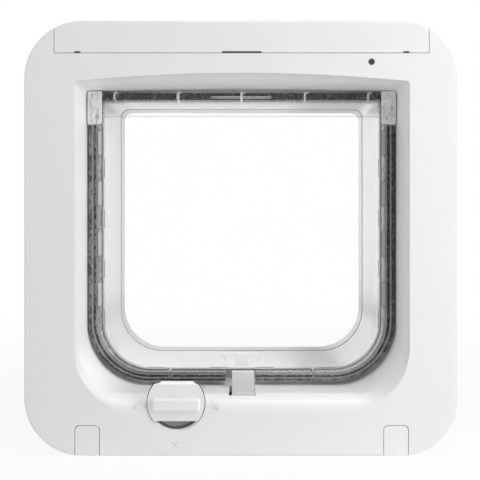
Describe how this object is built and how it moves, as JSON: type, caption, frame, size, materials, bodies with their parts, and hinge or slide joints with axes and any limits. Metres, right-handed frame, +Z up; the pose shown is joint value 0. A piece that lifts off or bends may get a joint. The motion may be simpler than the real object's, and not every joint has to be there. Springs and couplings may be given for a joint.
{
  "type": "cat flap",
  "caption": "Square door-mounted cat flap with a clear top-hinged panel, brush seals, a powered latch, a manual lock dial, a battery lid and a telescoping tunnel.",
  "frame": {"origin": "middle of the tunnel, in the plane where the inner housing meets the door", "axes": "+Y out of the room through the door, +Z up, +X to the right seen from the room"},
  "size_m": [0.21, 0.0964, 0.21],
  "materials": {
    "housing_white": "fine satin moulding",
    "tunnel_white": "smooth moulded",
    "outer_white": "fine satin moulding",
    "clear_plastic": "clear polycarbonate",
    "clear_carrier": "clear polycarbonate",
    "brush_pile": "dark woven pile",
    "latch_plastic": "satin moulded",
    "knob_plastic": "satin moulded",
    "gear_plastic": "acetal",
    "lock_plastic": "moulded",
    "magnet": "nickel plated",
    "steel": "zinc plated",
    "motor_can": "drawn can",
    "coil_copper": "enamelled winding",
    "board_green": "solder mask",
    "chip_black": "moulded epoxy",
    "cell_sleeve": "printed sleeve",
    "contact_nickel": "nickel plated",
    "led_lens": "dark tinted"
  },
  "bodies": {
    "frame": {"inner_frame": "housing_white", "rear_cover": "housing_white", "tunnel": "tunnel_white", "antenna_coil": "coil_copper", "coil_cover": "tunnel_white", "seal_carrier": "clear_carrier", "brush_inner": "brush_pile", "brush_middle": "brush_pile", "brush_outer": "brush_pile", "brush_top": "brush_pile", "circuit_board": "board_green", "board_components": "chip_black", "led": "led_lens", "led_window": "led_lens", "batteries": "cell_sleeve", "battery_contacts": "contact_nickel", "lock_motor": "motor_can", "lock_housing": "lock_plastic", "mounting_screws": "steel", "housing_screws": "steel", "outer_frame": "outer_white"},
    "flap": {"flap_panel": "clear_plastic", "flap_magnet": "magnet"},
    "latch": {"latch": "latch_plastic"},
    "pinion": {"motor_pinion": "gear_plastic"},
    "knob": {"lock_knob": "knob_plastic", "lock_cam": "steel"},
    "lid": {"battery_cover": "housing_white"},
    "left_screw_cover": {"screw_cover_left": "housing_white"},
    "right_screw_cover": {"screw_cover_right": "housing_white"},
    "button": {"memory_button": "latch_plastic"}
  },
  "joints": [
    {"name": "flap_swing", "type": "hinge", "parent": "frame", "child": "flap", "pos_m": [0, -0.009, 0.0665], "axis": [1, 0, 0], "range_deg": [-80, 80]},
    {"name": "latch_slide", "type": "slide", "parent": "frame", "child": "latch", "axis": [0, 0, 1], "range_m": [0, 0.0065]},
    {"name": "pinion_spin", "type": "hinge", "parent": "frame", "child": "pinion", "pos_m": [0.0087, -0.01635, -0.089], "axis": [0, 1, 0], "range_deg": [0, 104]},
    {"name": "knob_turn", "type": "hinge", "parent": "frame", "child": "knob", "pos_m": [-0.0316, -0.0286, -0.0791], "axis": [0, 1, 0], "range_deg": [-90, 180]},
    {"name": "battery_lid_slide", "type": "slide", "parent": "frame", "child": "lid", "axis": [0, 0, 1], "range_m": [0, 0.03]},
    {"name": "left_screw_cover_pull", "type": "slide", "parent": "frame", "child": "left_screw_cover", "axis": [0, -1, 0], "range_m": [0, 0.012]},
    {"name": "right_screw_cover_pull", "type": "slide", "parent": "frame", "child": "right_screw_cover", "axis": [0, -1, 0], "range_m": [0, 0.012]},
    {"name": "memory_button_press", "type": "slide", "parent": "frame", "child": "button", "axis": [0, 0, -1], "range_m": [0, 0.0006], "stiffness_N_per_m": 300, "springref_m": -0.0005}
  ],
  "couplings": [
    {"joint": "pinion_spin", "follows": "latch_slide", "rad_per_m": 277.78}
  ]
}
